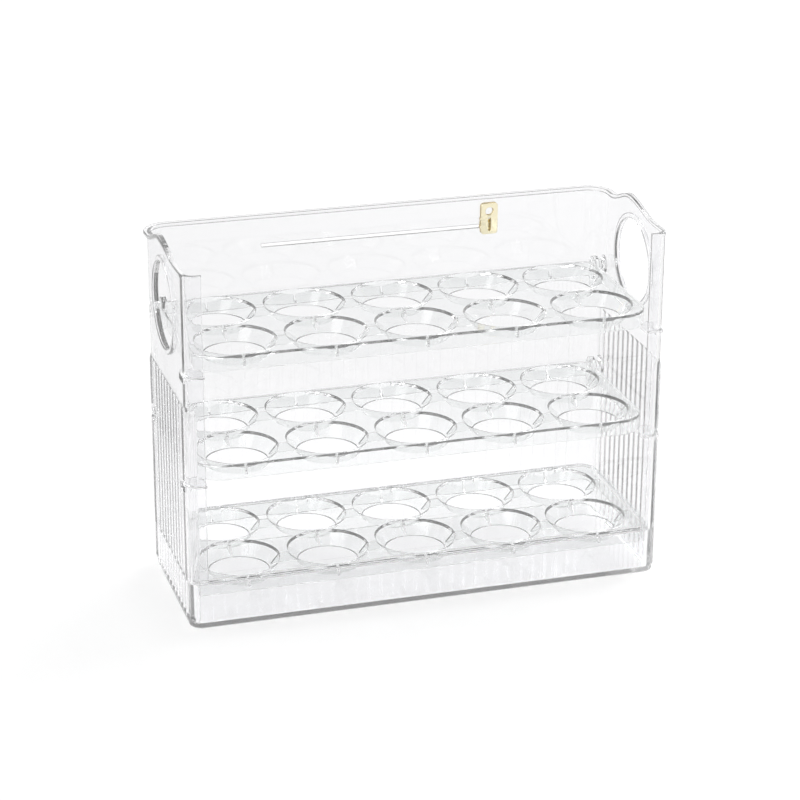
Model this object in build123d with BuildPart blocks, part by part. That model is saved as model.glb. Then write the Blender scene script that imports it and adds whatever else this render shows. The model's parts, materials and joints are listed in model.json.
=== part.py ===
from build123d import *
from math import cos, pi, sin
import os

# Three-tier egg holder: an open-fronted clear case, three trays of ten egg cups and a date marker.
# Millimetres. X is the width, -Y the open front and +Z up. The origin is under the middle of the base.

# Case shell
case_width = 260.0            # outside of the two side walls
case_depth = 98.0             # front face to the outside of the back wall
wall = 2.0
floor_thickness = 2.0
rear_corner_radius = 12.0
front_corner_radius = 7.0
base_edge_radius = 1.2

# Top edge of the case: low at the back, a hump over each handle, then level out to the front posts
case_height = 200.0           # to the top of the humps
back_drop = 9.0               # top of the humps down to the back edge
post_drop = 4.0               # top of the humps down to the posts
hump_y = 7.0
hump_rise = 23.0              # length from the low back edge up to the hump
hump_fall = 36.0              # length from the hump down to the post
rim_reach = 2.0               # how far the rim stands out of the walls
rim_depth = 3.6

# Open front
post_width = 9.5
front_sill_height = 25.0

# Ledge that carries the bottom tray
ledge_height = 24.6
ledge_width = 1.9

# Handle holes in the side walls
handle_y = -3.0
handle_drop = 35.0            # top of the humps to the middle of the handle
handle_half_length = 24.5
handle_half_height = 23.0
handle_bead_width = 2.8
handle_bead_height = 1.3
handle_bead_round = 0.5

# Upright reeds moulded round the outside
reed_pitch_target = 7.0
reed_margin = 2.2             # plain stretch round each front corner, before the first reed
reed_base = 0.1               # how far the valleys between reeds stand out of the wall
reed_rise = 0.6
reed_end_rise = 0.05
reed_bottom = 3.0
reed_top = 123.0
reed_run_out = 1.6            # height over which a reed fades into the wall

# Slot for the date marker in the back wall
slot_length = 132.0
slot_height = 2.0
slot_drop = 15.6              # back edge to the middle of the slot

# Trays
top_tray_drop = 50.0          # top of the humps to the top tray's plate
tray_spacing = 60.0           # top tray's plate to the middle tray's
bottom_plate_rise = 1.8       # ledge to the top of the bottom tray's plate
plate_thickness = 1.8
cup_columns = 5
cup_rows = 2
cup_side_web = 4.0            # outer cups to the side edges of a tray
cup_edge_web = 0.8            # cups to the front and rear edges of a tray
cup_row_web = 1.0             # between the two rows of cups
cup_taper = 6.3               # mouth radius less hole radius
cup_depth = 7.8
collar_wall = 1.5
tray_rib = 1.2
tray_rib_short = 1.0          # ribs stop this far above the bottom of the collars

# Tilting trays
tray_side_gap = 4.0           # tray to the side walls, filled at the back by the pivots
tray_front_gap = 2.0
tray_rear_gap = 1.4
tray_front_radius = 15.0
tray_rear_radius = 6.0
skirt_depth = 8.5
skirt_wall = 1.6

# Pivots of the tilting trays
pivot_from_back = 9.0         # pivot centre to the inner face of the back wall
pin_radius = 2.95
pin_clearance = 0.05
pin_end_inset = 0.4           # pin end to the outside of the wall
boss_radius = 5.2
boss_reach = 1.4
lug_radius = 5.0
lug_thickness = 3.0
lug_drop = 11.5
lug_tip_radius = 1.5

# Corner shelves that stop the tilting trays level
shelf_width = 9.0
shelf_depth = 13.0
shelf_thickness = 1.8
shelf_gap = 0.2
shelf_cut = 5.0
window_height = 3.2
window_length = 9.0

# Bottom tray
seat_gap = 0.5                # edge of the plate to the walls
locating_gap = 0.4            # skirt to the inside of the ledge
bottom_skirt_depth = 7.0

# Date marker
marker_end_gap = 3.7          # middle of the marker to the end of the slot
marker_width = 9.6
marker_height = 17.6
marker_thickness = 2.6
marker_corner = 1.8
marker_below_slot = 4.0       # bottom of the marker to the middle of the slot
marker_gap = 0.15
marker_neck_length = 6.0
marker_clip_width = 8.4
marker_clip_height = 6.4
marker_clip_thickness = 1.3
marker_hole_radius = 2.3
marker_hole_drop = 4.6
marker_split_width = 1.5
marker_split_length = 7.6
marker_split_drop = 8.2
marker_nub_radius = 0.55
marker_nub_spacing = 4.6

# Sizes that follow
front_y = -(case_depth + rim_reach) / 2
back_y = front_y + case_depth
middle_y = (front_y + back_y) / 2
inner_x = case_width / 2 - wall
inner_front_y = front_y + wall
inner_back_y = back_y - wall
pivot_y = inner_back_y - pivot_from_back
tray_x = inner_x - tray_side_gap
tray_front_y = inner_front_y + tray_front_gap
tray_rear_y = inner_back_y - tray_rear_gap
tray_depth = tray_rear_y - tray_front_y
tray_middle_y = (tray_front_y + tray_rear_y) / 2
back_height = case_height - back_drop
post_height = case_height - post_drop
handle_z = case_height - handle_drop
slot_z = back_height - slot_drop
top_level = case_height - top_tray_drop
middle_level = top_level - tray_spacing
bottom_level = ledge_height + bottom_plate_rise
cup_top_radius = (tray_depth - 2 * cup_edge_web - cup_row_web) / (2 * cup_rows)
cup_hole_radius = cup_top_radius - cup_taper
cup_pitch_y = 2 * cup_top_radius + cup_row_web
cup_pitch_x = 2 * (tray_x - cup_side_web - cup_top_radius) / (cup_columns - 1)
marker_x = slot_length / 2 - marker_end_gap


def case_plan(inset, height):
    """Sketch of the case seen from above, this far inside its outer walls."""
    with BuildSketch(Plane.XY.offset(height)) as plan:
        with Locations((0, middle_y)):
            Rectangle(case_width - 2 * inset, case_depth - 2 * inset)
        fillet(plan.vertices().group_by(Axis.Y)[0], front_corner_radius - inset)
        fillet(plan.vertices().group_by(Axis.Y)[-1], rear_corner_radius - inset)
    return plan.sketch


def wall_point(run, proud):
    """Point this far along the outer wall, from the front of the left post, and this far proud of it."""
    legs = [
        ("arc", (-case_width / 2 + front_corner_radius, front_y + front_corner_radius),
         front_corner_radius, -pi / 2),
        ("line", (-case_width / 2, front_y + front_corner_radius),
         case_depth - front_corner_radius - rear_corner_radius, pi),
        ("arc", (-case_width / 2 + rear_corner_radius, back_y - rear_corner_radius),
         rear_corner_radius, pi),
        ("line", (-case_width / 2 + rear_corner_radius, back_y),
         case_width - 2 * rear_corner_radius, pi / 2),
        ("arc", (case_width / 2 - rear_corner_radius, back_y - rear_corner_radius),
         rear_corner_radius, pi / 2),
        ("line", (case_width / 2, back_y - rear_corner_radius),
         case_depth - front_corner_radius - rear_corner_radius, 0.0),
        ("arc", (case_width / 2 - front_corner_radius, front_y + front_corner_radius),
         front_corner_radius, 0.0),
    ]
    for number, (kind, (x, y), size, facing) in enumerate(legs, 1):
        length = size * pi / 2 if kind == "arc" else size
        if run <= length or number == len(legs):
            if kind == "arc":
                turn = facing - run / size
                return (x + (size + proud) * cos(turn), y + (size + proud) * sin(turn))
            x += run * cos(facing - pi / 2)
            y += run * sin(facing - pi / 2)
            return (x + proud * cos(facing), y + proud * sin(facing))
        run -= length


def reeded_plan(rise, height):
    """Sketch of the case seen from above, with a reed of this rise on each pitch of its outer wall."""
    with BuildSketch(Plane.XY.offset(height)) as plan:
        with BuildLine():
            for reed in range(reed_count):
                run = reed_margin + reed * reed_pitch
                start = wall_point(run, reed_base)
                crown = wall_point(run + reed_pitch / 2, reed_base + rise)
                end = wall_point(run + reed_pitch, reed_base)
                ThreePointArc(start, crown, end)
            Line(wall_point(wall_run - reed_margin, reed_base), wall_point(reed_margin, reed_base))
        make_face()
    return plan.sketch


def top_edge(lift):
    """Line of the case's top edge from the side, back to front, moved up by this much."""
    far_back = (back_y + case_depth, back_height + lift)
    rise_start = (hump_y + hump_rise, back_height + lift)
    hump_top = (hump_y, case_height + lift)
    fall_end = (hump_y - hump_fall, post_height + lift)
    far_front = (front_y - case_depth, post_height + lift)
    Line(far_back, rise_start)
    Spline(rise_start, hump_top, tangents=[(-1, 0), (-1, 0)])
    Spline(hump_top, fall_end, tangents=[(-1, 0), (-1, 0)])
    Line(fall_end, far_front)
    return far_back, far_front


wall_run = (pi / 2 * 2 * (front_corner_radius + rear_corner_radius)
            + 2 * (case_depth - front_corner_radius - rear_corner_radius)
            + case_width - 2 * rear_corner_radius)
reed_count = round((wall_run - 2 * reed_margin) / reed_pitch_target)
reed_pitch = (wall_run - 2 * reed_margin) / reed_count

# Rim: a band that follows the top edge and stands out of the back and side walls.
with BuildPart() as rim:
    extrude(case_plan(-rim_reach, 0), amount=case_height)
    extrude(case_plan(wall, 0), amount=case_height, mode=Mode.SUBTRACT)
    with BuildSketch(Plane.YZ) as band:
        with BuildLine():
            upper_back, upper_front = top_edge(0)
            lower_back, lower_front = top_edge(-rim_depth)
            Line(upper_back, lower_back)
            Line(upper_front, lower_front)
        make_face()
    extrude(amount=case_width, both=True, mode=Mode.INTERSECT)
    # The rim ends level with the front face.
    with BuildSketch(Plane.XY) as ahead:
        with Locations((0, front_y)):
            Rectangle(2 * case_width, 2 * rim_reach + wall, align=(Align.CENTER, Align.MAX))
    extrude(amount=case_height, mode=Mode.SUBTRACT)

# Bead round the right handle hole.
with BuildPart() as handle_bead:
    with BuildSketch(Plane.YZ.offset(case_width / 2 - wall / 2)):
        with Locations((handle_y, handle_z)):
            Ellipse(handle_half_length + handle_bead_width, handle_half_height + handle_bead_width)
    extrude(amount=wall / 2 + handle_bead_height)
    fillet(handle_bead.faces().sort_by(Axis.X)[-1].edges(), handle_bead_round)

# Case: floor, three walls, two front posts and a low front sill in one moulding.
with BuildPart() as case:
    extrude(case_plan(0, 0), amount=case_height)
    fillet(case.faces().sort_by(Axis.Z)[0].edges(), base_edge_radius)

    # Reeds fade into the wall at both ends.
    reed_foot = reeded_plan(reed_end_rise, reed_bottom)
    reed_start = reeded_plan(reed_rise, reed_bottom + reed_run_out)
    reed_stop = reeded_plan(reed_rise, reed_top - reed_run_out)
    reed_head = reeded_plan(reed_end_rise, reed_top)
    extrude(reed_start, amount=reed_top - reed_bottom - 2 * reed_run_out)
    loft([reed_foot, reed_start], ruled=True)
    loft([reed_stop, reed_head], ruled=True)

    add(handle_bead.part)
    add(mirror(handle_bead.part, about=Plane.YZ, mode=Mode.PRIVATE))

    # Inside, with a ledge where the bottom tray sits.
    extrude(case_plan(wall + ledge_width, floor_thickness), amount=case_height, mode=Mode.SUBTRACT)
    extrude(case_plan(wall, ledge_height), amount=case_height, mode=Mode.SUBTRACT)

    # Top edge with its two humps.
    with BuildSketch(Plane.YZ):
        with BuildLine():
            edge_back, edge_front = top_edge(0)
            above_back = (edge_back[0], 2 * case_height)
            above_front = (edge_front[0], 2 * case_height)
            Line(edge_back, above_back)
            Line(above_back, above_front)
            Line(above_front, edge_front)
        make_face()
    extrude(amount=case_width, both=True, mode=Mode.SUBTRACT)
    add(rim.part)

    # Open front between the posts, down to the sill.
    with BuildSketch(Plane.XZ.offset(-inner_front_y)):
        with Locations((0, front_sill_height)):
            Rectangle(case_width - 2 * post_width, case_height, align=(Align.CENTER, Align.MIN))
    extrude(amount=2 * wall, mode=Mode.SUBTRACT)

    # Handle holes through both side walls.
    with BuildSketch(Plane.YZ):
        with Locations((handle_y, handle_z)):
            Ellipse(handle_half_length, handle_half_height)
    extrude(amount=case_width, both=True, mode=Mode.SUBTRACT)

    for level in (top_level, middle_level):
        for side in (-1, 1):
            # Boss round each pivot hole.
            with BuildSketch(Plane.YZ.offset(side * (inner_x - boss_reach))):
                with Locations((pivot_y, level)):
                    Circle(boss_radius)
            extrude(amount=side * (boss_reach + wall / 2))

            # Shelf in the corner behind the post.
            shelf_top = level - skirt_depth - shelf_gap
            with BuildSketch(Plane.XY.offset(shelf_top - shelf_thickness)) as shelf:
                with Locations((side * (inner_x + wall / 2), inner_front_y - wall / 2)):
                    Rectangle(
                        shelf_width + wall / 2,
                        shelf_depth + wall / 2,
                        align=(Align.MAX if side > 0 else Align.MIN, Align.MIN),
                    )
                shelf_corner = shelf.vertices().group_by(Axis.Y)[-1].sort_by(Axis.X)[0 if side > 0 else -1]
                chamfer(shelf_corner, shelf_cut)
            extrude(amount=shelf_thickness)

            # Window below the shelf, through the side wall.
            with BuildSketch(Plane.YZ.offset(side * inner_x)):
                with Locations((inner_front_y + shelf_depth, shelf_top - shelf_thickness)):
                    Rectangle(window_length, window_height, align=(Align.MAX, Align.MAX))
            extrude(amount=side * 2 * wall, mode=Mode.SUBTRACT)

        # Pivot holes through both side walls.
        with BuildSketch(Plane.YZ):
            with Locations((pivot_y, level)):
                Circle(pin_radius + pin_clearance)
        extrude(amount=case_width, both=True, mode=Mode.SUBTRACT)

    # Slot for the date marker.
    with BuildSketch(Plane.XZ.offset(-back_y - wall)):
        with Locations((0, slot_z)):
            SlotOverall(slot_length, slot_height)
    extrude(amount=3 * wall, mode=Mode.SUBTRACT)
case.part.label = "case"


def stiffen(level, half_width, front, rear):
    """Ribs under the plate along the middle of each row and column of cups."""
    with BuildSketch(Plane.XY.offset(level - cup_depth + tray_rib_short)) as ribs:
        for row_y in row_places:
            with Locations((0, row_y)):
                Rectangle(2 * half_width, tray_rib)
        for column_x in column_places:
            with Locations((column_x, (front + rear) / 2)):
                Rectangle(tray_rib, rear - front)
    extrude(ribs.sketch, amount=cup_depth - tray_rib_short - plate_thickness)


def add_collars(level):
    """Tapered collar under the plate for each egg."""
    slope = (cup_top_radius - cup_hole_radius) / cup_depth
    depth = cup_depth - plate_thickness
    with Locations((0, tray_middle_y, level - plate_thickness)):
        with GridLocations(cup_pitch_x, cup_pitch_y, cup_columns, cup_rows):
            Cone(
                cup_hole_radius + collar_wall,
                cup_hole_radius + collar_wall + slope * depth,
                depth,
                align=(Align.CENTER, Align.CENTER, Align.MAX),
            )


def cut_cups(level):
    """Open cone through the plate and its collar for each egg."""
    with Locations((0, tray_middle_y, level)):
        with GridLocations(cup_pitch_x, cup_pitch_y, cup_columns, cup_rows):
            Cone(
                cup_hole_radius,
                cup_top_radius,
                cup_depth,
                align=(Align.CENTER, Align.CENTER, Align.MAX),
                mode=Mode.SUBTRACT,
            )


column_places = [(column - (cup_columns - 1) / 2) * cup_pitch_x for column in range(cup_columns)]
row_places = [tray_middle_y + (row - (cup_rows - 1) / 2) * cup_pitch_y for row in range(cup_rows)]


def tilting_plan(inset, height):
    """Sketch of a tilting tray seen from above, this far inside its edge."""
    with BuildSketch(Plane.XY.offset(height)) as plan:
        with Locations((0, tray_middle_y)):
            Rectangle(2 * (tray_x - inset), tray_rear_y - tray_front_y - 2 * inset)
        fillet(plan.vertices().group_by(Axis.Y)[0], tray_front_radius - inset)
        fillet(plan.vertices().group_by(Axis.Y)[-1], tray_rear_radius - inset)
    return plan.sketch


def mould_tilting_tray(level):
    """Plate with a skirt, cups, ribs and two pivot lugs, for the part in hand."""
    inside = tilting_plan(skirt_wall, level - skirt_depth)
    extrude(tilting_plan(0, level - skirt_depth), amount=skirt_depth)
    extrude(inside, amount=skirt_depth - plate_thickness, mode=Mode.SUBTRACT)
    stiffen(level, tray_x - skirt_wall / 2, tray_front_y + skirt_wall / 2, tray_rear_y - skirt_wall / 2)
    add_collars(level)
    for side in (-1, 1):
        with BuildSketch(Plane.YZ.offset(side * (tray_x - lug_thickness))) as lug:
            with Locations((pivot_y, level)):
                Circle(lug_radius)
            with Locations((pivot_y, level - lug_drop)):
                Circle(lug_tip_radius)
            make_hull()
        extrude(lug.sketch, amount=side * lug_thickness)
        with BuildSketch(Plane.YZ.offset(side * (tray_x - lug_thickness))) as pin:
            with Locations((pivot_y, level)):
                Circle(pin_radius)
        extrude(pin.sketch, amount=side * (lug_thickness + tray_side_gap + wall - pin_end_inset))
    cut_cups(level)


# Top tray, tilting up on its two pins.
with BuildPart() as top_tray:
    mould_tilting_tray(top_level)
top_tray.part.label = "top_tray"

# Middle tray, the same moulding one level down.
with BuildPart() as middle_tray:
    mould_tilting_tray(middle_level)
middle_tray.part.label = "middle_tray"

# Bottom tray: a plate that lies on the ledge, with a short skirt inside it.
with BuildPart() as bottom_tray:
    skirt_inset = wall + ledge_width + locating_gap
    extrude(case_plan(wall + seat_gap, ledge_height), amount=bottom_level - ledge_height)
    extrude(case_plan(skirt_inset, ledge_height - bottom_skirt_depth), amount=bottom_skirt_depth)
    extrude(
        case_plan(skirt_inset + skirt_wall, ledge_height - bottom_skirt_depth),
        amount=bottom_level - plate_thickness - ledge_height + bottom_skirt_depth,
        mode=Mode.SUBTRACT,
    )
    stiffen(
        bottom_level,
        case_width / 2 - skirt_inset - skirt_wall / 2,
        front_y + skirt_inset + skirt_wall / 2,
        back_y - skirt_inset - skirt_wall / 2,
    )
    add_collars(bottom_level)
    cut_cups(bottom_level)
bottom_tray.part.label = "bottom_tray"

# Date marker: a thick tab in front of the wall, a neck through the slot and a clip behind it.
with BuildPart() as date_marker:
    tab_back_y = inner_back_y - marker_gap
    marker_bottom = slot_z - marker_below_slot
    marker_top = marker_bottom + marker_height
    with BuildSketch(Plane.XZ.offset(-tab_back_y)) as tab:
        with Locations((marker_x, marker_bottom)):
            Rectangle(marker_width, marker_height, align=(Align.CENTER, Align.MIN))
        fillet(tab.vertices(), marker_corner)
        for nub in (0, 1):
            with Locations((marker_x - marker_width / 2, slot_z + nub * marker_nub_spacing)):
                Circle(marker_nub_radius)
        with Locations((marker_x, marker_top - marker_hole_drop)):
            Circle(marker_hole_radius, mode=Mode.SUBTRACT)
        with Locations((marker_x, marker_top - marker_split_drop - marker_split_length / 2)):
            SlotOverall(marker_split_length, marker_split_width, rotation=90, mode=Mode.SUBTRACT)
    extrude(amount=marker_thickness)
    with BuildSketch(Plane.XZ.offset(-tab_back_y)):
        with Locations((marker_x, slot_z)):
            Rectangle(marker_neck_length, slot_height - 2 * marker_gap)
    extrude(amount=-(wall + 2 * marker_gap))
    with BuildSketch(Plane.XZ.offset(-back_y - marker_gap)) as clip:
        with Locations((marker_x, slot_z)):
            Rectangle(marker_clip_width, marker_clip_height)
        fillet(clip.vertices(), marker_corner)
    extrude(amount=-marker_clip_thickness)
date_marker.part.label = "date_marker"

os.makedirs("parts", exist_ok=True)
export_step(case.part, "parts/case.step")
export_step(top_tray.part, "parts/top_tray.step")
export_step(middle_tray.part, "parts/middle_tray.step")
export_step(bottom_tray.part, "parts/bottom_tray.step")
export_step(date_marker.part, "parts/date_marker.step")
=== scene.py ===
"""Looks of the three-tier egg holder: clear case, three clear trays of egg cups and a gold date marker."""

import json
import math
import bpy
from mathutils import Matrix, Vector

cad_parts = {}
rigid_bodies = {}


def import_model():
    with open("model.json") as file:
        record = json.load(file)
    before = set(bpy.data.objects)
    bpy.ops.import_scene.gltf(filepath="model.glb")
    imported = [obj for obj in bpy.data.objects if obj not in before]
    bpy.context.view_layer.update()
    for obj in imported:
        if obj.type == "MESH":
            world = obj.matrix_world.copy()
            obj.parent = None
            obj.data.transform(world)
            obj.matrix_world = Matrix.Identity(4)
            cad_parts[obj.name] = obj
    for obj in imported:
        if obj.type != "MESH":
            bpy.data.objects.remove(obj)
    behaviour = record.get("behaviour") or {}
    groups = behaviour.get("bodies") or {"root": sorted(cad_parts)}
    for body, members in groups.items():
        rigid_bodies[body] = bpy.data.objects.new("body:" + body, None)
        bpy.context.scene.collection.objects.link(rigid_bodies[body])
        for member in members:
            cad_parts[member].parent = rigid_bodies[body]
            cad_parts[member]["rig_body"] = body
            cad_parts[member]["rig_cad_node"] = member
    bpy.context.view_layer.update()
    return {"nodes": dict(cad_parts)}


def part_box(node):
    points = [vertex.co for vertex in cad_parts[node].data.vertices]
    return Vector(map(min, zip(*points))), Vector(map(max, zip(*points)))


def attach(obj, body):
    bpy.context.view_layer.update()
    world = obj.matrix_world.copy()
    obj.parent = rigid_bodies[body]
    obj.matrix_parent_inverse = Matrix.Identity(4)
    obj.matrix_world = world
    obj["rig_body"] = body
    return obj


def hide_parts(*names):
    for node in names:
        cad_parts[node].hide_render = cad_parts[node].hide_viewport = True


bl_info = {
    "name": "Three-tier egg holder",
    "version": (1, 0, 0),
    "blender": (4, 5, 0),
    "location": "View3D > Sidebar > Egg holder",
    "description": "Clear open-fronted case, tilting trays of egg cups and a date marker",
    "category": "Add Mesh",
}

import bmesh
import bpy
from bpy.props import FloatProperty, FloatVectorProperty, IntProperty, PointerProperty, StringProperty
from mathutils import Matrix, Vector

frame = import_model()

MM = 0.001
CASE_LOW, CASE_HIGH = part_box("case")
TRAY_LOW, TRAY_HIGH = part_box("top_tray")
BOTTOM_LOW, BOTTOM_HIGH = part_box("bottom_tray")
MARKER_LOW, MARKER_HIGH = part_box("date_marker")

SMALL = 0.02 * MM  # nearer than this is the same place
OVER = 1 * MM  # how far a cutter reaches past what it cuts

# Places that the pieces share
RIM_OUT = 2 * MM  # how far the rim stands out of the back wall
RIM_ZONE = 20 * MM  # the humps and the rim lie within this much of the top
WALL_X = 130 * MM  # outside of the side walls
FRONT_Y = CASE_LOW.y  # front face
BACK_Y = CASE_HIGH.y - RIM_OUT  # outside of the back wall
HANDLE_Y = -3 * MM  # middle of the handle holes
PIVOT_Y = 37 * MM  # pins of the tilting trays
TRAY_X = 124 * MM  # outside of a tilting tray's skirt
TRAY_LEVEL = 150 * MM  # top of the top tray's plate
TRAY_SPACING = TRAY_HIGH.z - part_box("middle_tray")[1].z
QUARTER = math.pi / 2


# Properties


def length(name, description, millimetres):
    """A length property with its default in millimetres."""
    return FloatProperty(
        name=name, description=description, default=millimetres * MM, min=0.0, unit="LENGTH", precision=5
    )


def hex_colour(name, description, code):
    """A colour property with its default as sRGB hex."""
    return StringProperty(name=name, description=description + ", as sRGB hex", default=code)


class CaseSizes(bpy.types.PropertyGroup):
    """Sizes of the clear case."""

    wall: length("Wall", "Thickness of the walls and floor", 2.0)
    front_radius: length("Front corners", "Radius of the case's front corners", 7.0)
    rear_radius: length("Rear corners", "Radius of the case's rear corners", 12.0)
    base_round: length("Base rounding", "Rounding round the underside", 1.2)
    back_drop: length("Back edge", "Top of the humps down to the back edge", 7.3)
    post_drop: length("Post tops", "Top of the humps down to the posts", 4.8)
    hump_y: length("Hump place", "Middle of the humps, behind the middle of the case", 4.5)
    hump_rise: length("Hump rise", "Length from the back edge up to the hump", 27.5)
    hump_fall: length("Hump fall", "Length from the hump down to the post", 36.5)
    rim_reach: length("Rim reach", "How far the rim stands out of the back wall", RIM_OUT / MM)
    rim_front: length("Rim front", "How far the rim stands out of the front posts", 0.3)
    rim_depth: length("Rim depth", "Height of the rim", 2.4)
    rim_round: length("Rim rounding", "Rounding of the rim's outer edges", 0.7)
    lip_round: length("Lip rounding", "Rounding of the inner top edge", 0.5)
    edge_round: length("Edge rounding", "Rounding of the other moulded edges", 0.35)
    floor_round: length("Floor rounding", "Rounding between the floor and the inner walls", 0.8)
    post_width: length("Post width", "Width of the front posts", 9.5)
    sill_height: length("Sill height", "Top of the low front wall", 25.0)
    ledge_height: length("Ledge height", "Ledge that carries the bottom tray", 24.6)
    ledge_width: length("Ledge width", "Width of the ledge", 1.9)
    handle_drop: length("Handle drop", "Top of the humps to the middle of the handle hole", 35.0)
    handle_length: length("Handle half length", "Half the handle hole's length", 24.5)
    handle_height: length("Handle half height", "Half the handle hole's height", 23.0)
    bead_width: length("Bead width", "Width of the bead round a handle hole", 2.8)
    bead_height: length("Bead height", "How far the bead stands out of the wall", 1.3)
    bead_round: length("Bead rounding", "Rounding of the bead", 0.6)
    reed_pitch: length("Reed pitch", "Width of an upright reed, to the nearest whole reed", 7.0)
    reed_margin: length("Reed margin", "Plain stretch round each front corner", 2.2)
    reed_base: length("Reed valleys", "How far the valleys between reeds stand out of the wall", 0.1)
    reed_rise: length("Reed rise", "How far a reed's crown stands out of its valleys", 0.8)
    reed_end: length("Reed end", "How far a reed's crown stands out where it stops", 0.05)
    reed_bottom: length("Reed start", "Height at which the reeds start", 3.0)
    reed_top: length("Reed stop", "Height at which the reeds stop", 123.0)
    reed_fade: length("Reed fade", "Height over which a reed fades into the wall", 1.6)
    slot_drop: length("Slot drop", "Back edge to the middle of the marker's slot", 17.3)
    slot_length: length("Slot length", "Length of the marker's slot", 132.0)
    slot_height: length("Slot height", "Height of the marker's slot", 2.0)
    slot_round: length("Slot rounding", "Rounding of the slot's edges", 0.2)
    boss_radius: length("Boss radius", "Radius of the boss round a pivot hole", 5.2)
    boss_reach: length("Boss reach", "How far a boss stands in from the wall", 1.4)
    pivot_hole: length("Pivot hole", "Radius of the pivot holes", 3.0)
    hole_round: length("Hole rounding", "Rounding of the pivot holes' edges", 0.3)
    shelf_width: length("Shelf width", "Reach of a corner shelf from the side wall", 8.2)
    shelf_depth: length("Shelf depth", "Reach of a corner shelf from the front wall", 13.0)
    shelf_thickness: length("Shelf thickness", "Thickness of the corner shelves", 1.8)
    shelf_drop: length("Shelf drop", "Top of a tray's plate to the top of its shelves", 8.7)
    shelf_cut: length("Shelf cut", "Cut across a shelf's free corner", 5.0)
    window_height: length("Window height", "Height of the window below a shelf", 3.2)
    window_length: length("Window length", "Length of the window below a shelf", 9.0)
    tint: hex_colour("Tint", "Colour of the clear plastic", "FAFAFB")


class TraySizes(bpy.types.PropertyGroup):
    """Sizes of the clear trays."""

    skirt_depth: length("Skirt depth", "Height of a tilting tray's skirt", 8.5)
    skirt_wall: length("Skirt wall", "Wall of the skirt", 1.6)
    plate: length("Plate", "Thickness of the plate round the cups", 1.8)
    front_radius: length("Front corners", "Radius of a tilting tray's front corners", 15.0)
    rear_radius: length("Rear corners", "Radius of a tilting tray's rear corners", 6.0)
    cup_top: length("Cup mouth", "Radius of an egg cup at the plate", 22.0)
    cup_hole: length("Cup hole", "Radius of the hole at the bottom of an egg cup", 15.7)
    cup_depth: length("Cup depth", "Depth of an egg cup below the plate", 7.8)
    collar_wall: length("Collar wall", "Wall of the collar round an egg cup", 1.5)
    pitch_x: length("Column pitch", "Distance between columns of cups", 49.0)
    pitch_y: length("Row pitch", "Distance between rows of cups", 45.0)
    rib: length("Rib", "Thickness of the ribs between the cups", 1.2)
    rib_short: length("Rib end", "Height of the ribs' lower edge above the collar's", 1.0)
    lip_round: length("Lip rounding", "Rounding of a cup's mouth", 0.9)
    rim_round: length("Rim rounding", "Rounding of the plate's outer edge", 0.35)
    edge_round: length("Edge rounding", "Rounding of the other tray edges", 0.35)
    pin_radius: length("Pin radius", "Radius of the pivot pins", 2.95)
    pin_round: length("Pin rounding", "Rounding of a pin's end", 0.4)
    lug_radius: length("Lug radius", "Radius of the lug round a pin", 5.0)
    lug_wall: length("Lug wall", "Thickness of a lug", 3.0)
    lug_drop: length("Lug drop", "Pin centre to the centre of the lug's tip", 11.5)
    lug_tip: length("Lug tip", "Radius of the lug's tip", 1.5)
    bottom_front_radius: length("Bottom tray front", "Radius of the bottom tray's front corners", 4.5)
    bottom_rear_radius: length("Bottom tray rear", "Radius of the bottom tray's rear corners", 9.5)
    bottom_inset: length("Bottom tray skirt", "Edge of the bottom tray in to its skirt", 1.8)
    segments: IntProperty(name="Cup segments", description="Sides of each round cup", default=96, min=24)
    tint: hex_colour("Tint", "Colour of the clear plastic", "F9FAFA")


class MarkerFinish(bpy.types.PropertyGroup):
    """Finish of the date marker."""

    edge_round: length("Edge rounding", "Rounding of the marker's edges", 0.3)
    colour: hex_colour("Colour", "Colour of the gold finish", "FFF6D6")
    edge_colour: hex_colour("Edge colour", "Colour of the gold where it is seen aslant", "8C6F3A")


class StageSettings(bpy.types.PropertyGroup):
    """Floor, background, lamps and camera."""

    floor_colour: hex_colour("Floor", "Colour of the paper sweep", "DEDEDE")
    focal_length: FloatProperty(
        name="Focal length", description="Lens in millimetres on a 36 mm sensor", default=118.87,
        unit="CAMERA",
    )
    camera_place: FloatVectorProperty(
        name="Camera", description="Place of the camera", default=(-0.3861, -1.2681, 0.6239),
        subtype="TRANSLATION",
    )
    camera_turn: FloatVectorProperty(
        name="Camera turn", description="Turn to the right, tilt down and roll of the camera",
        default=(0.2943, 0.3787, 0.0043), subtype="EULER",
    )


# Selection and modelling


def only(piece):
    """Select this piece alone and make it active."""
    bpy.ops.object.select_all(action="DESELECT")
    piece.select_set(True)
    bpy.context.view_layer.objects.active = piece
    return piece


def named(name):
    """The piece just added, with its place in its mesh and this name."""
    piece = only(bpy.context.object)
    bpy.ops.object.transform_apply(location=True, rotation=True, scale=True)
    piece.name = piece.data.name = name
    return piece


def edit(piece):
    """Enter edit mode with nothing selected."""
    only(piece)
    bpy.ops.object.mode_set(mode="EDIT")
    bpy.ops.mesh.select_mode(type="EDGE")
    bpy.ops.mesh.select_all(action="DESELECT")
    return bmesh.from_edit_mesh(piece.data)


def leave():
    """Back to object mode."""
    bpy.ops.object.mode_set(mode="OBJECT")


def bevel_edges(piece, test, offset, segments):
    """Round the edges that pass the test."""
    mesh = edit(piece)
    chosen = [edge for edge in mesh.edges if test(edge)]
    for edge in chosen:
        edge.select_set(True)
    bmesh.update_edit_mesh(piece.data)
    if chosen:
        bpy.ops.mesh.bevel(offset=offset, segments=segments, affect="EDGES", clamp_overlap=False)
    leave()


def is_corner(edge, degrees=60):
    """True if the faces on the two sides of an edge meet at more than this angle."""
    return len(edge.link_faces) == 2 and edge.calc_face_angle(0.0) > math.radians(degrees)


def at_height(level):
    """A test for sharp edges at this height."""
    return lambda edge: is_corner(edge) and all(abs(v.co.z - level) < SMALL for v in edge.verts)


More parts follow.
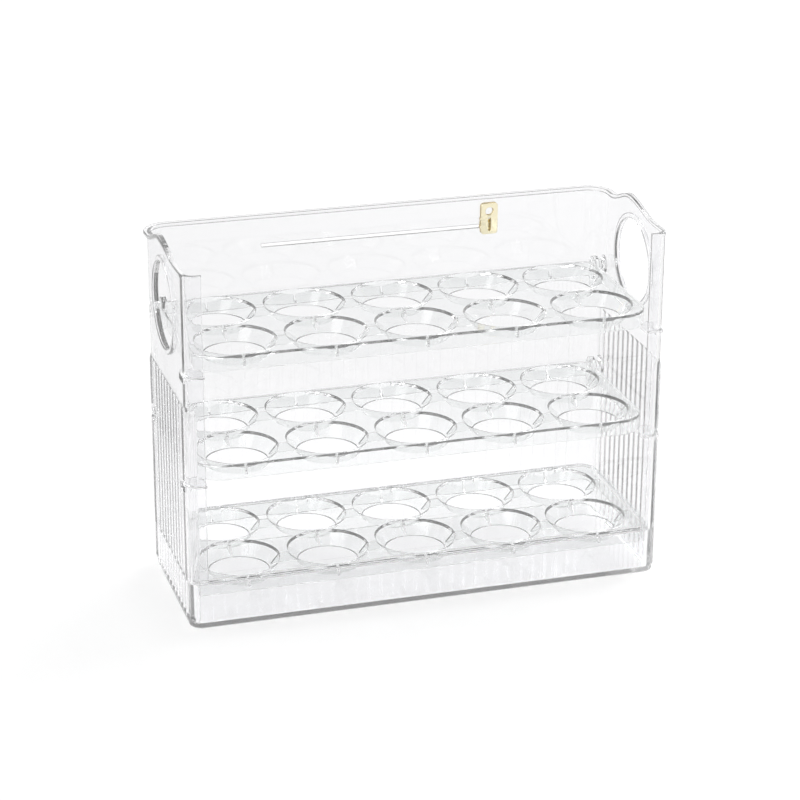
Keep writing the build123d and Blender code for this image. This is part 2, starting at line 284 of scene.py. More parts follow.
def face_outwards(piece):
    """Turn every face of a closed piece outwards, and leave edit mode."""
    bpy.ops.mesh.select_all(action="SELECT")
    bpy.ops.mesh.normals_make_consistent(inside=False)
    leave()
    return piece


def modify(piece, kind, **settings):
    """Add a modifier with these settings and apply it."""
    only(piece)
    bpy.ops.object.modifier_add(type=kind)
    modifier = piece.modifiers[-1]
    for key, value in settings.items():
        setattr(modifier, key, value)
    bpy.ops.object.modifier_apply(modifier=modifier.name)


def combine(piece, tool, operation):
    """Unite the piece with a tool or cut the tool out of it, and delete the tool."""
    modify(piece, "BOOLEAN", operation=operation, object=tool, solver="MANIFOLD")
    bpy.data.objects.remove(tool)


def joined(pieces, name):
    """One mesh of several separate pieces."""
    only(pieces[0])
    for piece in pieces[1:]:
        piece.select_set(True)
    bpy.ops.object.join()
    return named(name)


def block(name, low, high):
    """A box between two corners."""
    low, high = Vector(low), Vector(high)
    bpy.ops.mesh.primitive_cube_add(size=1.0, location=(low + high) / 2, scale=high - low)
    return named(name)


def rounded_block(name, low, high, front_radius, rear_radius):
    """A box with rounded upright corners, its front ones and its rear ones apart."""
    piece = block(name, low, high)
    middle = (low[1] + high[1]) / 2

    def upright(edge, rear):
        first, second = edge.verts
        if (first.co.xy - second.co.xy).length > SMALL:
            return False
        return (first.co.y > middle) == rear

    bevel_edges(piece, lambda edge: upright(edge, False), front_radius, 14)
    bevel_edges(piece, lambda edge: upright(edge, True) and is_corner(edge), rear_radius, 10)
    return piece


def smooth(piece, angle):
    """Smooth shading up to this angle, with flat faces kept flat."""
    only(piece)
    bpy.ops.object.shade_smooth_by_angle(angle=math.radians(angle))
    modify(piece, "WEIGHTED_NORMAL", keep_sharp=True, weight=80)


# Materials


def linear(code):
    """Linear colour of an sRGB hex value."""
    channels = [int(code[i : i + 2], 16) / 255 for i in (0, 2, 4)]
    return [c / 12.92 if c <= 0.04045 else ((c + 0.055) / 1.055) ** 2.4 for c in channels] + [1.0]


def node(tree, kind, settings=None, **values):
    """Add a node with its settings, and its inputs as values or as links from other nodes' outputs."""
    made = tree.nodes.new(kind)
    for key, value in (settings or {}).items():
        setattr(made, key, value)
    for key, value in values.items():
        socket = made.inputs[int(key[1:]) if key[0] == "i" and key[1:].isdigit() else key.replace("_", " ")]
        if isinstance(value, bpy.types.NodeSocket):
            tree.links.new(value, socket)
        else:
            socket.default_value = value
    return made


def blank(name):
    """A new material with only its output node."""
    material = bpy.data.materials.new(name)
    material.use_nodes = True
    tree = material.node_tree
    tree.nodes.clear()
    return material, tree


def clear_polystyrene(name, tint, flow_mm):
    """General-purpose polystyrene, injection moulded in a polished tool.

    It is water clear with a high index, so edges look grey and rounds carry small bright glints. Melt flow
    leaves a faint waviness some 30 mm across, and handling dulls the polish in places.
    """
    material, tree = blank(name)
    place = node(tree, "ShaderNodeTexCoord").outputs["Object"]
    # Flow waves: noise scale is cells per metre.
    flow = node(tree, "ShaderNodeTexNoise", Vector=place, Scale=1000 / flow_mm, Detail=1.0, Roughness=0.4)
    dull = node(tree, "ShaderNodeTexNoise", Vector=place, Scale=60.0, Detail=3.0, Roughness=0.6)
    rough = node(tree, "ShaderNodeMapRange", Value=dull.outputs["Fac"], To_Min=0.01, To_Max=0.05)
    bump = node(tree, "ShaderNodeBump", Height=flow.outputs["Fac"], Strength=0.12, Distance=0.0008)
    plastic = node(
        tree,
        "ShaderNodeBsdfPrincipled",
        Base_Color=linear(tint),
        Roughness=rough.outputs["Result"],
        IOR=1.5,
        Transmission_Weight=1.0,
        Normal=bump.outputs["Normal"],
    )
    # Lamps reach through the clear walls, so the shadow is a pale grey one. Light caught inside a wall
    # leaves it little by little after some passes, because the real one scatters it out.
    path = node(tree, "ShaderNodeLightPath")
    late = node(tree, "ShaderNodeMapRange", Value=path.outputs["Ray Depth"], From_Min=4.0, From_Max=7.5)
    free = node(
        tree, "ShaderNodeMath", {"operation": "MAXIMUM"}, i0=path.outputs["Is Shadow Ray"],
        i1=late.outputs["Result"],
    )
    passed = node(tree, "ShaderNodeMapRange", Value=path.outputs["Is Shadow Ray"], To_Min=0.94, To_Max=0.87)
    through = node(tree, "ShaderNodeBsdfTransparent", Color=passed.outputs["Result"])
    mix = node(tree, "ShaderNodeMixShader", i0=free.outputs[0])
    tree.links.new(plastic.outputs[0], mix.inputs[1])
    tree.links.new(through.outputs[0], mix.inputs[2])
    node(tree, "ShaderNodeOutputMaterial", Surface=mix.outputs[0])
    return material


def gold_plating(name, colour, edge_colour):
    """Electroplated gold over a moulded tab.

    Bright and pale yellow, with soft reflections from a fine satin grain, and a darker gold at its edges.
    """
    material, tree = blank(name)
    place = node(tree, "ShaderNodeTexCoord").outputs["Object"]
    # Satin grain 0.3 mm wide, coarser than the real one so that it shows.
    grain = node(tree, "ShaderNodeTexNoise", Vector=place, Scale=3300.0, Detail=2.0)
    rough = node(tree, "ShaderNodeMapRange", Value=grain.outputs["Fac"], To_Min=0.08, To_Max=0.16)
    bump = node(tree, "ShaderNodeBump", Height=grain.outputs["Fac"], Strength=0.1, Distance=0.00005)
    metal = node(
        tree,
        "ShaderNodeBsdfPrincipled",
        Base_Color=linear(colour),
        Metallic=1.0,
        Roughness=rough.outputs["Result"],
        Specular_Tint=linear(edge_colour),
        Normal=bump.outputs["Normal"],
    )
    node(tree, "ShaderNodeOutputMaterial", Surface=metal.outputs[0])
    return material


def paper_sweep(name, colour):
    """White seamless paper: matt, and bright enough in the picture to meet the white background."""
    material, tree = blank(name)
    paper = node(tree, "ShaderNodeBsdfDiffuse", Color=linear(colour))
    path = node(tree, "ShaderNodeLightPath")
    # Painted light: a glow is added to the paper where it is seen through the clear walls or in reflections,
    # for light that the walls would gather onto it. It is strongest within 0.12 m of the middle and falls off
    # to 0.3 m, where it lifts the shade under the holder.
    glow_seen_through = node(
        tree, "ShaderNodeMath", {"operation": "MAXIMUM"}, i0=path.outputs["Is Transmission Ray"],
        i1=path.outputs["Is Glossy Ray"],
    )
    place = node(tree, "ShaderNodeTexCoord").outputs["Object"]
    away = node(tree, "ShaderNodeVectorMath", {"operation": "LENGTH"}, i0=place)
    # Painted light: the glow is stronger near the holder, where the paper lies in its shade.
    painted_glow_near_holder = node(
        tree, "ShaderNodeMapRange", Value=away.outputs["Value"], From_Min=0.12, From_Max=0.3, To_Min=0.38,
        To_Max=0.2,
    )
    glow_seen_through = node(
        tree, "ShaderNodeMath", {"operation": "MULTIPLY"}, i0=glow_seen_through.outputs[0], i1=painted_glow_near_holder.outputs["Result"]
    )
    # Away from the lamps the paper is lifted more, so that it stays white to the horizon.
    open_lift = node(
        tree, "ShaderNodeMapRange", Value=away.outputs["Value"], From_Min=0.8, From_Max=3.5, To_Min=0.31,
        To_Max=0.5,
    )
    lift = node(
        tree, "ShaderNodeMath", {"operation": "MULTIPLY_ADD"}, i0=path.outputs["Is Camera Ray"],
        i1=open_lift.outputs["Result"], i2=glow_seen_through.outputs[0],
    )
    glow = node(tree, "ShaderNodeEmission", Color=(1.0, 1.0, 1.0, 1.0), Strength=lift.outputs[0])
    both = node(tree, "ShaderNodeAddShader", i0=paper.outputs[0], i1=glow.outputs[0])
    node(tree, "ShaderNodeOutputMaterial", Surface=both.outputs[0])
    return material


def dress(piece, material, body, cad_node):
    """Give a piece its material and its body, and hide the CAD node that it stands for."""
    piece.data.materials.clear()
    piece.data.materials.append(material)
    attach(piece, body)
    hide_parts(cad_node)


# Pieces


def copy_of(cad_node, name):
    """A merged copy of a CAD node, with its flat faces whole."""
    source = frame["nodes"][cad_node]
    only(source)
    bpy.ops.object.duplicate()
    piece = bpy.context.object
    piece.name = piece.data.name = name
    piece.parent = None
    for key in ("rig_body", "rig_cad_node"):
        if key in piece:
            del piece[key]
    edit(piece)
    bpy.ops.mesh.select_all(action="SELECT")
    bpy.ops.mesh.remove_doubles(threshold=SMALL / 4)
    bpy.ops.mesh.dissolve_limited(angle_limit=math.radians(0.5))
    leave()
    return piece


def outline(name, points):
    """A flat face with its corners at these points."""
    bpy.ops.mesh.primitive_circle_add(vertices=len(points), radius=1.0, fill_type="NGON")
    piece = named(name)
    for vertex, point in zip(piece.data.vertices, points):
        vertex.co = point
    return piece


def pull(piece, way):
    """Draw a flat face out into a solid."""
    edit(piece)
    bpy.ops.mesh.select_mode(type="FACE")
    bpy.ops.mesh.select_all(action="SELECT")
    bpy.ops.mesh.extrude_region_move(TRANSFORM_OT_translate={"value": way})
    return face_outwards(piece)


def case_block(sizes, name, inset, bottom, top):
    """A block with the case's plan, this far inside its outer walls."""
    low = (-WALL_X + inset, FRONT_Y + inset, bottom)
    high = (WALL_X - inset, BACK_Y - inset, top)
    return rounded_block(name, low, high, sizes.front_radius - inset, sizes.rear_radius - inset)


def top_line(sizes, lift, steps=18):
    """Points (y, z) of the case's top edge from the back to the front, moved up by this much."""
    top = CASE_HIGH.z + lift
    far = 2 * BACK_Y
    corners = (
        Vector((sizes.hump_y + sizes.hump_rise, top - sizes.back_drop)),
        Vector((sizes.hump_y, top)),
        Vector((sizes.hump_y - sizes.hump_fall, top - sizes.post_drop)),
    )
    points = [Vector((far, corners[0].y)), corners[0]]
    for start, stop in zip(corners, corners[1:]):
        handle = Vector((-(stop - start).length, 0.0)) / 3
        for step in range(1, steps + 1):
            t = step / steps
            points.append(
                (1 - t) ** 3 * start
                + 3 * t * (1 - t) ** 2 * (start + handle)
                + 3 * t**2 * (1 - t) * (stop - handle)
                + t**3 * stop
            )
    return points + [Vector((-far, corners[2].y))]


def across(name, points, half_width):
    """A solid with this outline seen from the side, (y, z), drawn from side to side."""
    return pull(outline(name, [(-half_width, y, z) for y, z in points]), (2 * half_width, 0.0, 0.0))


def wall_point(sizes, run, proud):
    """Point this far along the outer wall, from the front of the left post, and this far proud of it."""
    front, rear = sizes.front_radius, sizes.rear_radius
    side, back = BACK_Y - FRONT_Y - front - rear, 2 * (WALL_X - rear)
    # Each stretch has its radius, its centre or start, its length and the way that the wall first faces.
    legs = (
        (front, (-WALL_X + front, FRONT_Y + front), front * QUARTER, -QUARTER),
        (0.0, (-WALL_X, FRONT_Y + front), side, math.pi),
        (rear, (-WALL_X + rear, BACK_Y - rear), rear * QUARTER, math.pi),
        (0.0, (-WALL_X + rear, BACK_Y), back, QUARTER),
        (rear, (WALL_X - rear, BACK_Y - rear), rear * QUARTER, QUARTER),
        (0.0, (WALL_X, BACK_Y - rear), side, 0.0),
        (front, (WALL_X - front, FRONT_Y + front), front * QUARTER, 0.0),
    )
    for number, (radius, (x, y), leg, facing) in enumerate(legs, 1):
        if run <= leg or number == len(legs):
            break
        run -= leg
    if radius:
        facing -= run / radius
    else:
        x += run * math.cos(facing - QUARTER)
        y += run * math.sin(facing - QUARTER)
    return Vector((x + (radius + proud) * math.cos(facing), y + (radius + proud) * math.sin(facing)))


def wall_run(sizes):
    """Length along the outer wall, from the front of one post round the back to the other."""
    corners = (math.pi - 4) * (sizes.front_radius + sizes.rear_radius) + 2 * sizes.front_radius
    return corners + 2 * (BACK_Y - FRONT_Y) + 2 * WALL_X


def reeded_ring(sizes, rise, steps=8):
    """Points of the reeded outline seen from above, with reeds of this rise."""
    inner = wall_run(sizes) - 2 * sizes.reed_margin
    count = round(inner / sizes.reed_pitch)
    points = []
    for reed in range(count):
        start, crown, stop = (
            wall_point(sizes, sizes.reed_margin + (reed + part) * inner / count, sizes.reed_base + proud)
            for part, proud in ((0.0, 0.0), (0.5, rise), (1.0, 0.0))
        )
        middle = (start + stop) / 2
        sagitta, half = (crown - middle).length, (stop - start).length / 2
        radius = (half**2 + sagitta**2) / (2 * sagitta)
        centre = crown + (middle - crown).normalized() * radius
        first, last = (start - centre).normalized(), (stop - centre).normalized()
        points += [centre + radius * first.slerp(last, step / steps) for step in range(steps)]
    return points + [stop]


def reeds(sizes):
    """A solid with the reeded outline. The reeds fade into the wall at both ends."""
    full, faint = reeded_ring(sizes, sizes.reed_rise), reeded_ring(sizes, sizes.reed_end)
    heights = (
        (sizes.reed_bottom + sizes.reed_fade, full),
        (sizes.reed_top - sizes.reed_fade, full),
        (sizes.reed_top, faint),
    )
    piece = outline("reeds", [(*point, sizes.reed_bottom) for point in faint])
    height = sizes.reed_bottom
    for next_height, ring in heights:
        mesh = edit(piece)
        bpy.ops.mesh.select_mode(type="FACE")
        for face in mesh.faces:
            face.select_set(all(abs(v.co.z - height) < SMALL for v in face.verts))
        bmesh.update_edit_mesh(piece.data)
        bpy.ops.mesh.extrude_region_move(TRANSFORM_OT_translate={"value": (0.0, 0.0, next_height - height)})
        mesh = bmesh.from_edit_mesh(piece.data)
        top = next(face for face in mesh.faces if face.select)
        before = [Vector(point) for point in (full if height > sizes.reed_bottom else faint)]
        for vertex in top.verts:
            nearest = min(range(len(before)), key=lambda i: (before[i] - vertex.co.xy).length_squared)
            vertex.co.xy = ring[nearest]
        bmesh.update_edit_mesh(piece.data)
        leave()
        height = next_height
    edit(piece)
    return face_outwards(piece)


def drawn(name, axis, halves, middle, rings, vertices=0):
    """A solid drawn along X or Y from an oval, or from a rectangle where no count of vertices is given.

    Halves are its half sizes across the axis, the level one first, middle is its other two coordinates, and
    each ring has its place along the axis and how much wider it is all round.
    """
    place, grow = rings[0]
    level, upright = halves
    if vertices:
        bpy.ops.mesh.primitive_circle_add(vertices=vertices, radius=1.0, fill_type="NGON")
    else:
        bpy.ops.mesh.primitive_plane_add(size=2.0)
    piece = named(name)

    def at(where):
        return (where, middle[0], middle[1]) if axis == "X" else (middle[0], where, middle[1])

    for vertex in piece.data.vertices:
        a, b = vertex.co.x * (level + grow), vertex.co.y * (upright + grow)
        vertex.co = Vector(at(place)) + (Vector((0.0, a, b)) if axis == "X" else Vector((a, 0.0, b)))
    edit(piece)
    bpy.ops.mesh.select_mode(type="FACE")
    bpy.ops.mesh.select_all(action="SELECT")
    for next_place, next_grow in rings[1:]:
        step = Vector(at(next_place)) - Vector(at(place))
        bpy.ops.mesh.extrude_region_move(TRANSFORM_OT_translate={"value": step})
        ratios = (level + next_grow) / (level + grow), (upright + next_grow) / (upright + grow)
        value = (1.0, *ratios) if axis == "X" else (ratios[0], 1.0, ratios[1])
        bpy.ops.transform.resize(value=value, center_override=at(next_place))
        place, grow = next_place, next_grow
    return face_outwards(piece)


def flared(near, far, radius_near, radius_far):
    """Rings of a cutter through a wall from near to far, widened to round the opening's two edges."""
    way = 1 if far > near else -1
    turns = [step / 4 * QUARTER for step in range(5)]
    return [
        (near - way * OVER, radius_near),
        *((near + way * radius_near * (1 - math.cos(a)), radius_near * (1 - math.sin(a))) for a in turns),
        *((far - way * radius_far * (1 - math.sin(a)), radius_far * (1 - math.cos(a))) for a in turns),
        (far + way * OVER, radius_far),
    ]


def rim(sizes):
    """A flange that follows the humped top edge and narrows towards the front, filled in across the case."""
    run, steps, points = wall_run(sizes), 300, []
    side = BACK_Y - FRONT_Y - sizes.rear_radius
    for step in range(steps + 1):
        way = run * step / steps
        part = min(max((min(way, run - way) - sizes.front_radius) / side, 0.0), 1.0)
        reach = sizes.rim_front + (sizes.rim_reach - sizes.rim_front) * part * part * (3 - 2 * part)
        points.append((*wall_point(sizes, way, reach), CASE_HIGH.z - RIM_ZONE))
    piece = pull(outline("rim", points), (0.0, 0.0, RIM_ZONE + 5 * OVER))
    upper, lower = top_line(sizes, 0.0), top_line(sizes, -sizes.rim_depth)
    combine(piece, across("band", upper + lower[::-1], 2 * WALL_X), "INTERSECT")
    # The rim ends just behind the front face.
    far = (2 * WALL_X, FRONT_Y + SMALL, 2 * CASE_HIGH.z)
    combine(piece, block("ahead", (-2 * WALL_X, 2 * FRONT_Y, 0.0), far), "DIFFERENCE")
    bevel_edges(piece, is_corner, sizes.rim_round, 3)
    return piece


def bead(sizes, side):
    """Bead round one handle hole, filled in."""
    reach, radius = WALL_X + sizes.bead_height, sizes.bead_round
    rings = [(side * (WALL_X - sizes.wall / 2), 0.0)]
    for step in range(5):
        turn = step / 4 * QUARTER
        rings.append((side * (reach - radius * (1 - math.sin(turn))), -radius * (1 - math.cos(turn))))
    halves = (sizes.handle_length + sizes.bead_width, sizes.handle_height + sizes.bead_width)
    return drawn("bead", "X", halves, (HANDLE_Y, CASE_HIGH.z - sizes.handle_drop), rings, 128)


def shelf(sizes, side, top):
    """Corner shelf behind a post, with its free corner cut off."""
    inner_x, inner_y = WALL_X - sizes.wall, FRONT_Y + sizes.wall
    near, far = side * (inner_x - sizes.shelf_width), side * (inner_x + sizes.wall / 2)
    low = (min(near, far), inner_y - sizes.wall / 2, top - sizes.shelf_thickness)
    high = (max(near, far), inner_y + sizes.shelf_depth, top)
    piece = block("shelf", low, high)

    def free_corner(edge):
        return all(abs(v.co.x - near) < SMALL and abs(v.co.y - high[1]) < SMALL for v in edge.verts)

    bevel_edges(piece, free_corner, sizes.shelf_cut, 1)
    bevel_edges(piece, lambda edge: all(v.co.y > low[1] + SMALL for v in edge.verts), sizes.edge_round, 2)
    return piece


def hollow(piece, sizes):
    """Take the inside out of the case, with a ledge where the bottom tray sits and a rounded top edge."""
    wall, inner_x = sizes.wall, WALL_X - sizes.wall
    lower = case_block(sizes, "lower_inside", wall + sizes.ledge_width, wall, sizes.ledge_height + wall)
    bevel_edges(lower, at_height(wall), sizes.floor_round, 3)
    combine(piece, lower, "DIFFERENCE")
    combine(piece, case_block(sizes, "inside", wall, sizes.ledge_height, 2 * CASE_HIGH.z), "DIFFERENCE")

    def inner_lip(edge):
        return is_corner(edge) and all(
            v.co.z > CASE_HIGH.z - RIM_ZONE
            and abs(v.co.x) < inner_x + SMALL
            and FRONT_Y + wall / 2 < v.co.y < BACK_Y - wall + SMALL
            for v in edge.verts
        )

    bevel_edges(piece, inner_lip, sizes.lip_round, 2)


def open_up(piece, sizes):
    """Cut the open front, the handle holes and the marker's slot."""
    wall, small, top = sizes.wall, sizes.edge_round, CASE_HIGH.z
    half = (2 * top - sizes.sill_height) / 2
    rings = flared(FRONT_Y, FRONT_Y + wall, small, small)
    opening = drawn("opening", "Y", (WALL_X - sizes.post_width, half), (0.0, sizes.sill_height + half), rings)
    combine(piece, opening, "DIFFERENCE")
    halves, middle = (sizes.handle_length, sizes.handle_height), (HANDLE_Y, top - sizes.handle_drop)
    for side in (-1, 1):
        rings = flared(side * (WALL_X + sizes.bead_height), side * (WALL_X - wall), sizes.bead_round, small)
        combine(piece, drawn("handle", "X", halves, middle, rings, 128), "DIFFERENCE")
    halves, height = (sizes.slot_length / 2, sizes.slot_height / 2), top - sizes.back_drop - sizes.slot_drop
    rings = flared(BACK_Y, BACK_Y - wall, sizes.slot_round, sizes.slot_round)
    combine(piece, drawn("slot", "Y", halves, (0.0, height), rings), "DIFFERENCE")


def add_supports(piece, sizes, side, level):
    """Boss, pivot hole, shelf and window that carry one side of the tilting tray at this level."""
    inner_x, outside = WALL_X - sizes.wall, side * (WALL_X + 2 * OVER)
    end, small = inner_x - sizes.boss_reach, sizes.edge_round
    rings = [(side * (inner_x + sizes.wall / 2), 0.0), (side * (end + small), 0.0), (side * end, -small)]
    combine(piece, drawn("boss", "X", (sizes.boss_radius,) * 2, (PIVOT_Y, level), rings, 64), "UNION")
    shelf_top = level - sizes.shelf_drop
    combine(piece, shelf(sizes, side, shelf_top), "UNION")
    # The hole is rounded at its inner end only.
    rings = flared(side * end, outside, sizes.hole_round, sizes.hole_round)[:6] + [(outside, 0.0)]
    hole = drawn("pivot_hole", "X", (sizes.pivot_hole,) * 2, (PIVOT_Y, level), rings, 64)
    combine(piece, hole, "DIFFERENCE")
    under = shelf_top - sizes.shelf_thickness - SMALL
    back = FRONT_Y + sizes.wall + sizes.shelf_depth
    near, far = sorted((side * (inner_x - 10 * SMALL), outside))
    low, high = (near, back - sizes.window_length, under - sizes.window_height), (far, back, under)
    combine(piece, block("window", low, high), "DIFFERENCE")


class EGGHOLDER_OT_case(bpy.types.Operator):
    """Clear case with its rim, posts, handle beads, reeds, bosses and shelves"""

    bl_idname = "eggholder.case"
    bl_label = "Case"

    def execute(self, context):
        sizes, top = context.scene.egg_case, CASE_HIGH.z
        piece = case_block(sizes, "case_moulding", 0.0, 0.0, top)
        bevel_edges(piece, at_height(0.0), sizes.base_round, 4)
        above = top_line(sizes, -sizes.rim_depth / 2) + [(-2 * BACK_Y, 2 * top), (2 * BACK_Y, 2 * top)]
        combine(piece, across("above", above, 2 * WALL_X), "DIFFERENCE")
        for part in (reeds(sizes), bead(sizes, -1), bead(sizes, 1), rim(sizes)):
            combine(piece, part, "UNION")
        hollow(piece, sizes)
        open_up(piece, sizes)
        for level in (TRAY_LEVEL, TRAY_LEVEL - TRAY_SPACING):
            for side in (-1, 1):
                add_supports(piece, sizes, side, level)
        smooth(piece, 32)
        plastic = clear_polystyrene("clear polystyrene case", sizes.tint, 32.0)
        dress(piece, plastic, "case", "case")
        return {"FINISHED"}


def cup_places(sizes, middle_y):
    """Centres of the ten egg cups."""
    return [
        (column * sizes.pitch_x, middle_y + row * sizes.pitch_y)
        for row in (-0.5, 0.5)
        for column in range(-2, 3)
    ]


def turned(name, profile, segments):
    """A solid turned about Z from (radius, height) points, lowest first, drawn ring by ring."""
    radius, height = profile[0]
    bpy.ops.mesh.primitive_circle_add(
        vertices=segments, radius=radius, fill_type="NGON", location=(0.0, 0.0, height)
    )
    piece = named(name)
    edit(piece)
    bpy.ops.mesh.select_mode(type="FACE")
    bpy.ops.mesh.select_all(action="SELECT")
    for wider, higher in profile[1:]:
        bpy.ops.mesh.extrude_region_move(TRANSFORM_OT_translate={"value": (0.0, 0.0, higher - height)})
        ratio = wider / radius
        bpy.ops.transform.resize(value=(ratio, ratio, 1.0), center_override=(0.0, 0.0, higher))
        radius, height = wider, higher
    return face_outwards(piece)


def repeated(piece, places):
    """One mesh with a copy of the piece at each place."""
    copies = []
    for x, y in places:
        only(piece)
        bpy.ops.object.duplicate()
        bpy.ops.transform.translate(value=(x, y, 0.0))
        copies.append(bpy.context.object)
    name = piece.name
    bpy.data.objects.remove(piece)
    return joined(copies, name)


def round_over(corner, before, after, radius, steps):
    """Points of a rounding of this radius at a profile's corner, between the lines from two other points."""
    corner, before, after = Vector(corner), Vector(before), Vector(after)
    back, on = (before - corner).normalized(), (after - corner).normalized()
    half = back.angle(on) / 2
    centre = corner + (back + on).normalized() * radius / math.sin(half)
    start = (corner + back * radius / math.tan(half) - centre).normalized()
    stop = (corner + on * radius / math.tan(half) - centre).normalized()
    return [tuple(centre + radius * start.slerp(stop, step / steps)) for step in range(steps + 1)]


def ribs(sizes, places, level, low, high):
    """Ribs under the plate along the middle of each row and column of cups, from wall to wall."""
    bottom, top = level - sizes.cup_depth + sizes.rib_short, level - sizes.plate / 2
    half = sizes.rib / 2
    bars = [((low[0], y - half, bottom), (high[0], y + half, top)) for y in sorted({y for x, y in places})]
    bars += [((x - half, low[1], bottom), (x + half, high[1], top)) for x in sorted({x for x, y in places})]
    return [block("rib", a, b) for a, b in bars]


def add_cups(piece, sizes, places, level, low, high):
    """Ribs, collars with rounded feet and open tapered cups with rounded lips."""
    for rib in ribs(sizes, places, level, low, high):
        combine(piece, rib, "UNION")
    slope = (sizes.cup_top - sizes.cup_hole) / sizes.cup_depth
    foot, inside = level - sizes.cup_depth, level - sizes.plate / 2
    outer = sizes.cup_hole + sizes.collar_wall
    top = (outer + slope * (inside - foot), inside)
    collar = [(outer - OVER, foot)] + round_over((outer, foot), (0.0, foot), top, sizes.edge_round, 3) + [top]
    combine(piece, repeated(turned("collar", collar, sizes.segments), places), "UNION")
    hole, mouth = (sizes.cup_hole, foot), (sizes.cup_top, level)
    flare = (sizes.cup_top + 2 * OVER, level)
    cup = [(sizes.cup_hole + 0.8 * sizes.edge_round, foot - OVER)]
    cup += round_over(hole, (sizes.cup_hole + OVER, foot), mouth, sizes.edge_round, 3)
    cup += round_over(mouth, hole, flare, sizes.lip_round, 4)
    cup.append((cup[-1][0], level + OVER))
    combine(piece, repeated(turned("cup", cup, sizes.segments), places), "DIFFERENCE")


def crosswise_disc(name, radius, middle, width):
    """A disc with its axis along X."""
    bpy.ops.mesh.primitive_cylinder_add(
        vertices=48, radius=radius, depth=width, location=middle, rotation=(0.0, QUARTER, 0.0)
    )
    return named(name)


def pivot(sizes, side, level):
    """Lug and pin on one side of a tilting tray."""
    middle_x = side * (TRAY_X - sizes.lug_wall / 2)
    discs = [
        crosswise_disc("lug", radius, (middle_x, PIVOT_Y, level - drop), sizes.lug_wall)
        for radius, drop in ((sizes.lug_radius, 0.0), (sizes.lug_tip, sizes.lug_drop))
    ]
    lug = joined(discs, "lug")
    edit(lug)
    bpy.ops.mesh.select_all(action="SELECT")
    bpy.ops.mesh.convex_hull()
    bpy.ops.mesh.dissolve_limited(angle_limit=math.radians(0.5))
    leave()
    bevel_edges(lug, is_corner, sizes.edge_round, 2)
    start, stop = TRAY_X - sizes.lug_wall / 2, TRAY_HIGH.x
    pin = crosswise_disc("pin", sizes.pin_radius, (side * (start + stop) / 2, PIVOT_Y, level), stop - start)
    bevel_edges(pin, lambda e: all(abs(abs(v.co.x) - stop) < SMALL for v in e.verts), sizes.pin_round, 2)
    combine(lug, pin, "UNION")
    return lug


def tilting_tray(sizes, name, level):
    """Tray with a skirt, cups, ribs and two pivots."""
    front, rear = TRAY_LOW.y, TRAY_HIGH.y
    bottom, wall = level - sizes.skirt_depth, sizes.skirt_wall
    low, high = (-TRAY_X, front, bottom), (TRAY_X, rear, level)
    piece = rounded_block(name, low, high, sizes.front_radius, sizes.rear_radius)
    bevel_edges(piece, at_height(level), sizes.rim_round, 3)
    bevel_edges(piece, at_height(bottom), sizes.edge_round, 2)
    inside_low = (low[0] + wall, front + wall, bottom - wall)
    inside_high = (high[0] - wall, rear - wall, level - sizes.plate)
    radii = sizes.front_radius - wall, sizes.rear_radius - wall
    combine(piece, rounded_block("inside", inside_low, inside_high, *radii), "DIFFERENCE")
    for side in (-1, 1):
        combine(piece, pivot(sizes, side, level), "UNION")
    middle = wall / 2
    add_cups(
        piece, sizes, cup_places(sizes, (front + rear) / 2), level,
        (low[0] + middle, front + middle), (high[0] - middle, rear - middle),
    )
    smooth(piece, 32)
    return piece


class EGGHOLDER_OT_tilting_trays(bpy.types.Operator):
    """Top and middle trays, which tilt up on their pins"""

    bl_idname = "eggholder.tilting_trays"
    bl_label = "Tilting trays"

    def execute(self, context):
        sizes = context.scene.egg_trays
        plastic = clear_polystyrene("clear polystyrene trays", sizes.tint, 26.0)
        top = tilting_tray(sizes, "top_tray_moulding", TRAY_LEVEL)
        only(top)
        bpy.ops.object.duplicate()
        bpy.ops.transform.translate(value=(0.0, 0.0, -TRAY_SPACING))
        middle = named("middle_tray_moulding")
        dress(top, plastic, "top_tray", "top_tray")
        dress(middle, plastic, "middle_tray", "middle_tray")
        return {"FINISHED"}


class EGGHOLDER_OT_bottom_tray(bpy.types.Operator):
    """Bottom tray, which lies on the ledge inside the case"""

    bl_idname = "eggholder.bottom_tray"
    bl_label = "Bottom tray"

    def execute(self, context):
        sizes = context.scene.egg_trays
        low, high, level = BOTTOM_LOW, BOTTOM_HIGH, BOTTOM_HIGH.z
        inset, wall = sizes.bottom_inset, sizes.skirt_wall
        front, rear = sizes.bottom_front_radius, sizes.bottom_rear_radius
        plate_low = (low.x, low.y, level - sizes.plate)
        piece = rounded_block("bottom_tray_moulding", plate_low, tuple(high), front, rear)
        bevel_edges(piece, at_height(level), sizes.rim_round, 3)
        skirt_low = (low.x + inset, low.y + inset, low.z)
        skirt_high = (high.x - inset, high.y - inset, level - sizes.plate / 2)
        skirt = rounded_block("skirt", skirt_low, skirt_high, front - inset, rear - inset)
        bevel_edges(skirt, at_height(low.z), sizes.edge_round, 2)
        combine(piece, skirt, "UNION")
        inside_low = (skirt_low[0] + wall, skirt_low[1] + wall, low.z - wall)
        inside_high = (skirt_high[0] - wall, skirt_high[1] - wall, level - sizes.plate)
        radii = front - inset - wall, rear - inset - wall
        combine(piece, rounded_block("inside", inside_low, inside_high, *radii), "DIFFERENCE")
        middle = wall / 2
        add_cups(
            piece, sizes, cup_places(sizes, (TRAY_LOW.y + TRAY_HIGH.y) / 2), level,
            (skirt_low[0] + middle, skirt_low[1] + middle), (skirt_high[0] - middle, skirt_high[1] - middle),
        )
        smooth(piece, 32)
        plastic = bpy.data.materials["clear polystyrene trays"]
        dress(piece, plastic, "case", "bottom_tray")
        return {"FINISHED"}


